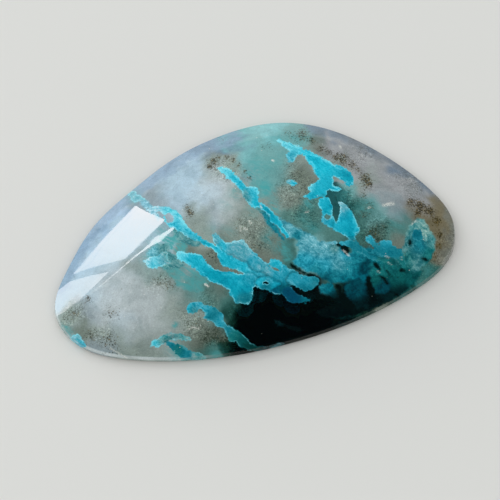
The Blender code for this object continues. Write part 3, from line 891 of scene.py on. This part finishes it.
class Bench:
    """Adds nodes to one node tree and joins them."""

    def __init__(self, tree):
        self.tree = tree

    def add(self, kind, inputs=(), **settings):
        made = self.tree.nodes.new(kind)
        for name, value in settings.items():
            setattr(made, name, value)
        for name, value in dict(inputs).items():
            socket = made.inputs[name]
            if isinstance(value, bpy.types.NodeSocket):
                self.tree.links.new(value, socket)
            else:
                socket.default_value = value
        return made

    def stored(self, name, colour=False):
        made = self.add("ShaderNodeAttribute", attribute_name=name)
        return made.outputs["Color" if colour else "Fac"]

    def sum(self, a, b, operation="ADD", clamp=False):
        made = self.add("ShaderNodeMath", {0: a, 1: b}, operation=operation, use_clamp=clamp)
        return made.outputs[0]

    def times(self, a, b):
        return self.sum(a, b, "MULTIPLY")

    def ramp(self, value, low, high, to_low=0.0, to_high=1.0):
        inputs = {"Value": value, "From Min": low, "From Max": high, "To Min": to_low, "To Max": to_high}
        return self.add("ShaderNodeMapRange", inputs, interpolation_type="SMOOTHSTEP").outputs["Result"]

    def noise(self, where, scale, detail=2.0, rough=0.5, warp=0.0):
        inputs = {"Vector": where, "Scale": scale, "Detail": detail, "Roughness": rough, "Distortion": warp}
        return self.add("ShaderNodeTexNoise", inputs).outputs["Fac"]

    def wavering(self, where, scale, size, detail=3.0, rough=0.6):
        """Noise round 0 that mostly stays within the given size."""
        around_half = self.noise(where, scale, detail, rough)
        return self.times(self.sum(around_half, 0.5, "SUBTRACT"), size)

    def in_mm(self):
        """The place on the piece, in millimetres."""
        place = self.add("ShaderNodeTexCoord").outputs["Object"]
        inputs = {"Vector": place, "Scale": (MM_PER_METRE,) * 3}
        return self.add("ShaderNodeMapping", inputs).outputs["Vector"]

    def drawn_out(self, where, turn, scale):
        """The place for a pattern that is turned and drawn out one way."""
        inputs = {"Vector": where, "Rotation": (0, 0, turn), "Scale": scale}
        return self.add("ShaderNodeMapping", inputs, vector_type="TEXTURE").outputs["Vector"]

    def bump(self, height, strength, distance):
        inputs = {"Height": height, "Strength": strength, "Distance": distance}
        return self.add("ShaderNodeBump", inputs).outputs["Normal"]

    def mix(self, amount, under, over, kind="MIX"):
        made = self.add("ShaderNodeMix", {"Factor": amount}, data_type="RGBA", blend_type=kind)
        for name, value in (("A", under), ("B", over)):
            socket = next(s for s in made.inputs if s.name == name and s.type == "RGBA")
            if isinstance(value, bpy.types.NodeSocket):
                self.tree.links.new(value, socket)
            else:
                socket.default_value = (*value, 1)
        return next(s for s in made.outputs if s.type == "RGBA")

    def tinted(self, colour, value, *tints):
        """The colour, multiplied by each tint as far as the value has gone from low to high."""
        for low, high, most, tint in tints:
            colour = self.mix(self.ramp(value, low, high, 0.0, most), colour, tint, "MULTIPLY")
        return colour


stone_grain = bpy.data.node_groups.new("stone grain", "ShaderNodeTree")
for socket, way, kind in (
    ("Stone", "INPUT", "Color"), ("Amount", "INPUT", "Float"),
    ("Grained", "OUTPUT", "Color"), ("Dust", "OUTPUT", "Float"),
):
    stone_grain.interface.new_socket(name=socket, in_out=way, socket_type="NodeSocket" + kind)
bench = Bench(stone_grain)
given = bench.add("NodeGroupInput")
amount = given.outputs["Amount"]
mm = bench.in_mm()
grain = bench.noise(mm, 2.6, 8, 0.78, 0.4)
dust = bench.noise(mm, 8.0, 3, 0.7)
grained = given.outputs["Stone"]
for value, low, high, tint in (
    (grain, 0.5, 0.32, (0.42, 0.42, 0.36)), (grain, 0.5, 0.7, (1.5, 1.48, 1.4)),
    (dust, 0.5, 0.32, (0.42, 0.4, 0.35)), (dust, 0.52, 0.72, (1.85, 1.82, 1.72)),
):
    grained = bench.mix(bench.times(bench.ramp(value, low, high), amount), grained, tint, "MULTIPLY")
bench.add("NodeGroupOutput", {"Grained": grained, "Dust": dust})

polished = new_material("polished gem silica")
bench = Bench(polished.node_tree)
mm = bench.in_mm()

# The growths run down the stone from the far left, so their fibres do too
flow = bench.drawn_out(mm, FIBRES_RUN, (1.7, 1, 1.4))

# Chalcedony: soft clouds, then the fine grain that shows in the clearer parts
clearness = bench.stored("clearness")
body = bench.stored("ground", True)
cloud = bench.noise(mm, 0.5, 5, 0.6, 0.8)
body = bench.tinted(body, cloud, (0.46, 0.66, 1.0, (1.1, 1.1, 1.1)), (0.5, 0.34, 1.0, (0.86, 0.88, 0.88)))
amount = bench.ramp(clearness, 0.0, 0.26, 0.2, 1.0)
grained = bench.add("ShaderNodeGroup", {"Stone": body, "Amount": amount}, node_tree=stone_grain)
body, dust = grained.outputs["Grained"], grained.outputs["Dust"]

# Mist
strands = bench.drawn_out(mm, STRANDS_RUN, (2.4, 1, 1.6))
mist_cloud = bench.ramp(bench.noise(strands, 1.7, 7, 0.7, 0.9), 0.34, 0.62, 0.15, 1.5)
mist = bench.times(bench.stored("mist"), mist_cloud)
body = bench.mix(mist, body, light(88, 166, 166))

# Far growths, with soft edges and a mottled, fibrous inside
far_reach = bench.sum(bench.stored("in_far"), bench.wavering(mm, 1.3, 1.0, 6, 0.7))
far_mask = bench.ramp(far_reach, -0.12, 0.16)
mottle = bench.noise(flow, 3.0, 8, 0.78, 0.9)
far_colour = bench.stored("far_colour", True)
far_colour = bench.tinted(
    far_colour, mottle, (0.5, 0.66, 1.0, (2.0, 1.4, 1.34)), (0.5, 0.36, 1.0, (0.4, 0.64, 0.68)),
)
curls = bench.noise(mm, 1.3, 6, 0.65, 1.0)
far_colour = bench.tinted(
    far_colour, curls, (0.5, 0.4, 1.0, (0.55, 0.7, 0.74)), (0.52, 0.62, 1.0, (1.6, 1.26, 1.22)),
)
far_colour = bench.tinted(far_colour, dust, (0.5, 0.32, 0.6, (0.5, 0.6, 0.6)))
veins = bench.sum(bench.noise(mm, 1.5, 5, 0.6, 0.5), 0.5, "SUBTRACT")
veins = bench.ramp(bench.sum(veins, 0.0, "ABSOLUTE"), 0.014, 0.004)
veins = bench.times(veins, bench.ramp(bench.noise(mm, 0.9, 2), 0.44, 0.6))
far_colour = bench.mix(veins, far_colour, (2.0, 1.5, 1.45), "MULTIPLY")
specks = bench.ramp(bench.noise(mm, 3.6, 4, 0.7), 0.38, 0.3, 0.0, 0.7)
far_colour = bench.mix(specks, far_colour, light(26, 48, 44))
body = bench.mix(far_mask, body, far_colour)

# Cracks and hollows, painted near black as shade
shaded_gap_reach = bench.sum(bench.stored("in_shaded_gap"), bench.wavering(mm, 2.2, 0.6, 4))
shaded_gap_mask = bench.ramp(shaded_gap_reach, -0.12, 0.12, 0.0, 0.97)
body = bench.mix(shaded_gap_mask, body, light(10, 22, 20))

# Moss: fine broken tufts, dark with gold among them
tufts = bench.wavering(mm, 5.5, 3.8, 5, 0.8)
moss = bench.stored("moss")
body = bench.mix(bench.ramp(moss, 0.3, 1.0, 0.0, 0.4), body, light(118, 110, 86))
moss_reach = bench.sum(moss, tufts)
moss_mask = bench.ramp(moss_reach, 0.54, 0.76, 0.0, 0.8)
gilded = bench.ramp(bench.noise(mm, 5.0, 2), 0.5, 0.62)
moss_colour = bench.mix(gilded, light(46, 40, 26), light(116, 100, 62))
body = bench.mix(moss_mask, body, moss_colour)

# Near plumes, with crisp ragged edges, a painted rim light and folded, saturated insides
ragged = bench.sum(bench.wavering(mm, 1.6, 0.5), bench.wavering(mm, 4.2, 0.42, 4, 0.65))
near_reach = bench.sum(bench.stored("in_near"), ragged)
near_mask = bench.ramp(near_reach, -0.03, 0.05)
folds = bench.noise(flow, 2.4, 8, 0.78, 0.9)
near_colour = bench.stored("near_colour", True)
near_colour = bench.tinted(
    near_colour, folds, (0.5, 0.64, 1.0, (2.1, 1.16, 1.12)), (0.52, 0.36, 1.0, (0.3, 0.68, 0.74)),
)
near_colour = bench.tinted(
    near_colour, dust, (0.5, 0.34, 0.7, (0.6, 0.72, 0.76)), (0.52, 0.68, 0.7, (1.6, 1.16, 1.13)),
)
# Painted rim light, broken along each growth's edge
rim_light_broken = bench.ramp(bench.noise(mm, 1.1, 3), 0.4, 0.6, 0.15, 0.9)
rim_light = bench.times(bench.ramp(near_reach, 0.15, 0.05), rim_light_broken)
rim_light = bench.times(rim_light, bench.stored("rim_light_share"))
near_lit = bench.mix(rim_light, near_colour, (1.0, 1.0, 1.0), "SOFT_LIGHT")
near_lit = bench.mix(bench.times(rim_light, 0.55), near_lit, light(150, 222, 232))
body = bench.mix(near_mask, body, near_lit)

# Painted glints on tiny flecks of quartz, with the glint strokes
glint_cells = bench.add("ShaderNodeTexVoronoi", {"Vector": mm, "Scale": 0.9, "Randomness": 1.0})
glint_flecks = bench.ramp(glint_cells.outputs["Distance"], 0.06, 0.03, 0.0, 0.5)
painted_glints = bench.times(bench.stored("painted_glints"), bench.ramp(dust, 0.42, 0.56, 0.15, 1.0))
glint_flecks = bench.sum(glint_flecks, painted_glints, "MAXIMUM")
body = bench.mix(glint_flecks, body, light(226, 226, 216))

# Relief below the gloss
height = bench.sum(bench.ramp(near_reach, -0.1, 0.4), bench.times(folds, 0.8))
relief = bench.bump(height, 0.35, 0.0002)
grown = bench.add("ShaderNodeBsdfPrincipled", {
    "Base Color": body, "Roughness": 0.5, "Specular IOR Level": 0.1, "Normal": relief,
    "Coat Weight": 1.0, "Coat Roughness": 0.015, "Coat IOR": CLEAR_INDEX,
})

# Clear stone lets light in to the back, which is why it looks smoky
clear_tint = (*light(226, 238, 236), 1)
glass = bench.add("ShaderNodeBsdfPrincipled", {
    "Base Color": clear_tint, "Roughness": 0.02, "IOR": CLEAR_INDEX, "Transmission Weight": 1.0,
})
passing = bench.add("ShaderNodeBsdfTransparent", {"Color": clear_tint})
shadow = bench.add("ShaderNodeLightPath").outputs["Is Shadow Ray"]
clear = bench.add("ShaderNodeMixShader", {0: shadow, 1: glass.outputs[0], 2: passing.outputs[0]})
covered = far_mask
for cover in (near_mask, bench.times(mist, 0.6), moss_mask, glint_flecks):
    covered = bench.sum(covered, cover, "MAXIMUM")
see_through = bench.times(clearness, bench.sum(1.0, covered, "SUBTRACT"))
opaque = bench.sum(1.0, see_through, "SUBTRACT", clamp=True)
whole = bench.add("ShaderNodeMixShader", {0: opaque, 1: clear.outputs[0], 2: grown.outputs[0]})
bench.add("ShaderNodeOutputMaterial", {"Surface": whole.outputs[0]})

# The lapped back is the same stone, dull, with its dark matrix showing
lapped = new_material("lapped back")
bench = Bench(lapped.node_tree)
mm = bench.in_mm()
back_body = bench.mix(0.3, bench.stored("ground", True), light(122, 132, 122))
matrix = bench.noise(mm, 0.7, 7, 0.72, 0.25)
back_body = bench.mix(bench.ramp(matrix, 0.5, 0.38, 0.0, 0.7), back_body, light(56, 62, 54))
back_body = bench.mix(bench.ramp(matrix, 0.56, 0.68, 0.0, 0.5), back_body, light(170, 178, 168))
back_plume = bench.sum(bench.stored("in_near"), bench.wavering(mm, 1.0, 0.8, 5, 0.65))
plume_mask = bench.ramp(back_plume, 0.0, 0.12, 0.0, 0.85)
back_body = bench.mix(plume_mask, back_body, bench.stored("near_colour", True))
# Painted shade: the back goes near black under the clear parts, the shadow seen through them
back_painted_shade = bench.ramp(bench.stored("clearness"), 0.36, 0.6)
back_body = bench.mix(back_painted_shade, back_body, light(3, 6, 6))
grained = bench.add("ShaderNodeGroup", {"Stone": back_body, "Amount": 0.9}, node_tree=stone_grain)
back_body, scratches = grained.outputs["Grained"], grained.outputs["Dust"]
scratched = bench.bump(scratches, 0.15, 0.0001)
back_shader = bench.add("ShaderNodeBsdfPrincipled", {
    "Base Color": back_body, "Roughness": 0.32, "IOR": CLEAR_INDEX, "Normal": scratched,
})
bench.add("ShaderNodeOutputMaterial", {"Surface": back_shader.outputs[0]})

stone.data.materials.append(polished)
stone.data.materials.append(lapped)
levels = np.empty(len(stone.data.polygons) * 3)
stone.data.polygons.foreach_get("center", levels)
is_back = levels.reshape(-1, 3)[:, 2] < 1e-6
stone.data.polygons.foreach_set("material_index", is_back.astype(np.int32))
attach(stone, "root")
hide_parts("cabochon")


# The table is a plain pale board that carries the stone, and the light comes
# from a tall window behind it to the left, which its dome mirrors.
BELOW_STONE = 0.00001
bpy.ops.object.select_all(action="DESELECT")
bpy.ops.mesh.primitive_plane_add(size=2.4)
floor = bpy.context.object
floor.name = "floor"
bpy.ops.object.mode_set(mode="EDIT")
bpy.ops.transform.translate(value=(0, 0, -BELOW_STONE))
bpy.ops.object.mode_set(mode="OBJECT")
board = new_material("pale board")
bench = Bench(board.node_tree)
pale_paint = (*light(222, 219, 213), 1)
board_shader = bench.add("ShaderNodeBsdfPrincipled", {"Base Color": pale_paint, "Roughness": 0.8})
bench.add("ShaderNodeOutputMaterial", {"Surface": board_shader.outputs[0]})
floor.data.materials.append(board)

WINDOW_SIDE = math.radians(-23.5)
WINDOW_DISTANCE = 0.6
TOP = 1.4
GLOSS = 11.0
GLOW = 3.2
LAMP_GAP = 0.01
MAIN_PANE_LEAN = 0.575
MAIN_PANE_LEFT = 0.91
GROOVE_HEIGHT = 0.055
towards = np.array([math.sin(WINDOW_SIDE), math.cos(WINDOW_SIDE), 0])
along = np.array([math.cos(WINDOW_SIDE), -math.sin(WINDOW_SIDE), 0])

# The dome mirrors the window's straight frame in nearly straight lines, and
# these are the ways that its edges take in the picture
PANE_LEFT_EDGE = ((137, 204), (104, 238), (73, 274))
PANE_RIGHT_EDGE = ((166, 219), (122, 262))
SIDE_PANE_EDGE = ((111, 271), (84, 297), (62, 314))
GAP_LINE = ((171.5, 229.3), (135.9, 255.7), (115, 273))
FAR_GAP_LINE = ((135, 256.5), (93.5, 291.5), (62, 313))
SEARCH = 15.0
bearings = np.arctan2(*(girdle - apex).T[::-1])


def dome_height(x, y):
    """The height of the dome over places on its plan, in millimetres."""
    way = np.interp(np.arctan2(y - apex[1], x - apex[0]), bearings, reach, period=math.tau)
    share = np.minimum(np.hypot(x - apex[0], y - apex[1]) / way, 1.2)
    power = DOME_POWER * np.sqrt(way / TYPICAL_REACH)
    return (STONE_HEIGHT - (STONE_HEIGHT - GIRDLE_TOP) * share**power) * JUST_INSIDE


def in_the_window(across, down):
    """Where the dome mirrors the window at a point of the picture: rightwards and upwards.

    Both are shares of the window's distance.
    """
    middle = PICTURE_SIDE / 2
    reached = np.linspace(VIEW_DISTANCE - SEARCH, VIEW_DISTANCE + SEARCH, 3001)
    ray = ((across - middle) * view_right - (down - middle) * view_up) / focal_pixels - view_back
    ray /= np.linalg.norm(ray)
    path = eye + reached[:, None] * ray
    struck = path[np.argmax(path[:, 2] <= dome_height(path[:, 0], path[:, 1]))]
    x, y = struck[:2]
    step = 0.1
    slope_x = (dome_height(x + step, y) - dome_height(x - step, y)) / (2 * step)
    slope_y = (dome_height(x, y + step) - dome_height(x, y - step)) / (2 * step)
    normal = np.array([-slope_x, -slope_y, 1.0]) / math.sqrt(slope_x**2 + slope_y**2 + 1)
    bounced = ray - 2 * (ray @ normal) * normal
    distance = WINDOW_DISTANCE * MM_PER_METRE
    onward = (distance - struck @ towards) / (bounced @ towards)
    on_window = struck + bounced * onward
    return on_window @ along / distance, on_window[2] / distance


def mirrored_edge(ends, way, raised_right=0.0, raised_left=0.0):
    """The edge of a pane that the dome mirrors along a way in the picture.

    It runs from the pane's right end to its left as points, leftwards and
    upwards, and is raised by some of the window's distance at each end.
    """
    stops = np.linspace(0, len(way) - 1, 25)
    across, down = (np.interp(stops, range(len(way)), values) for values in np.transpose(way))
    rightwards, upwards = np.transpose([in_the_window(*stop) for stop in zip(across, down)])
    leftwards = (ends[0] - rightwards) / (ends[0] - ends[1])
    even = np.linspace(0, 1, 41)
    raised = np.interp(even, (0, 1), (raised_right, raised_left))
    order = np.argsort(leftwards)
    return list(zip(even, np.interp(even, leftwards[order], upwards[order]) + raised))


def above(bench, pane, edge):
    """How far above one of its edges a point of the pane is."""
    line = bench.add("ShaderNodeFloatCurve", {"Value": pane.outputs["X"]})
    curve = line.mapping.curves[0]
    for _ in edge[2:]:
        curve.points.new(0.5, 0.5)
    for point, (leftwards, upwards) in zip(curve.points, edge):
        point.location = (leftwards, upwards / TOP)
        point.handle_type = "VECTOR"
    line.mapping.update()
    return bench.times(bench.sum(pane.outputs["Y"], line.outputs["Value"], "SUBTRACT"), TOP)


# Each pane's right and left end, its brightness there, its sill and its head.
# The side pane's sill isn't seen in the dome, so it is given straight away.
SIDE_PANE_SILL = ((0.0, 0.16), (0.2, 0.08), (1.0, 0.0))
panes = (
    ("main pane", (0.14, -0.245), (1.05, 0.78), (PANE_LEFT_EDGE,), (PANE_RIGHT_EDGE,)),
    ("side pane", (-0.267, -1.07), (0.5, 0.42), None, (SIDE_PANE_EDGE, -0.027, -0.027)),
    ("gap", (0.13, -0.17), (1.1, 0.7), (GAP_LINE, -0.033, -0.0225), (GAP_LINE, 0.033, 0.0225)),
    (
        "far gap", (-0.17, -0.95), (0.55, 0.25),
        (FAR_GAP_LINE, -0.0205, -0.0205), (FAR_GAP_LINE, 0.0205, 0.0205),
    ),
)
for number, (name, (right, left), (share, share_left), sill_way, head_way) in enumerate(panes):
    sill = mirrored_edge((right, left), *sill_way) if sill_way else SIDE_PANE_SILL
    head = mirrored_edge((right, left), *head_way)
    lean, left_edge = (MAIN_PANE_LEAN, MAIN_PANE_LEFT) if name == "main pane" else (0.0, 1.0)
    for use, brightness in (("gloss", GLOSS * share), ("glow", GLOW)):
        light_data = bpy.data.lights.new(name + " " + use, "AREA")
        light_data.shape = "RECTANGLE"
        low, high = (0.0, TOP) if use == "gloss" else (sill[0][1], head[0][1])
        light_data.size = (right - left) * WINDOW_DISTANCE
        light_data.size_y = (high - low) * WINDOW_DISTANCE
        light_data.color = (1.0, 0.97, 0.98) if use == "gloss" else (0.93, 0.97, 1.0)
        light_data.energy = brightness * math.pi * light_data.size * light_data.size_y
        if use == "gloss":
            light_data.use_nodes = True
            bench = Bench(light_data.node_tree)
            emission = next(n for n in bench.tree.nodes if n.type == "EMISSION")
            pane = bench.add("ShaderNodeNewGeometry").outputs["Parametric"]
            pane = bench.add("ShaderNodeSeparateXYZ", {"Vector": pane})
            leftwards = pane.outputs["X"]
            above_sill = above(bench, pane, sill)
            below_head = above(bench, pane, head)
            shown = bench.times(bench.ramp(above_sill, -0.01, 0.02), bench.ramp(below_head, 0.01, -0.02))
            side = bench.sum(leftwards, bench.times(above_sill, lean))
            shown = bench.times(shown, bench.ramp(side, left_edge + 0.01, left_edge - 0.02))
            dimming = bench.ramp(leftwards, 0.0, 1.0, 1.0, share_left / share)
            strength = bench.times(shown, dimming)
            if name == "main pane":
                groove = bench.sum(bench.sum(above_sill, GROOVE_HEIGHT, "SUBTRACT"), 0.0, "ABSOLUTE")
                low_part = bench.ramp(groove, 0.0, 0.014, 0.72, 1.0)
                strip = bench.ramp(side, left_edge - 0.04, left_edge - 0.26, 0.6, 1.0)
                strength = bench.times(strength, bench.times(low_part, strip))
            bench.tree.links.new(strength, emission.inputs["Strength"])
        lamp = bpy.data.objects.new(name + " " + use, light_data)
        bpy.context.scene.collection.objects.link(lamp)
        middle = towards + along * (right + left) / 2 + np.array([0, 0, (low + high) / 2])
        lamp.location = middle * WINDOW_DISTANCE * (1 - LAMP_GAP * number)
        lamp.rotation_mode = "QUATERNION"
        lamp.rotation_quaternion = Vector(-towards).to_track_quat("-Z", "Y")
        lamp.visible_diffuse = use == "glow"
        lamp.visible_glossy = use == "gloss"
        lamp.visible_transmission = use == "glow"

# Soft light from all round, dimmer where the gloss would mirror it
world = bpy.data.worlds.new("studio")
world.use_nodes = True
bench = Bench(world.node_tree)
bench.tree.nodes.clear()
mirrored = bench.add("ShaderNodeLightPath").outputs["Is Glossy Ray"]
strength = bench.ramp(mirrored, 0.0, 1.0, 0.95, 0.25)
sky = bench.add("ShaderNodeBackground", {"Color": (0.93, 0.97, 1.0, 1), "Strength": strength})
bench.add("ShaderNodeOutputWorld", {"Surface": sky.outputs[0]})
bpy.context.scene.world = world
bpy.context.scene.view_settings.view_transform = "Khronos PBR Neutral"
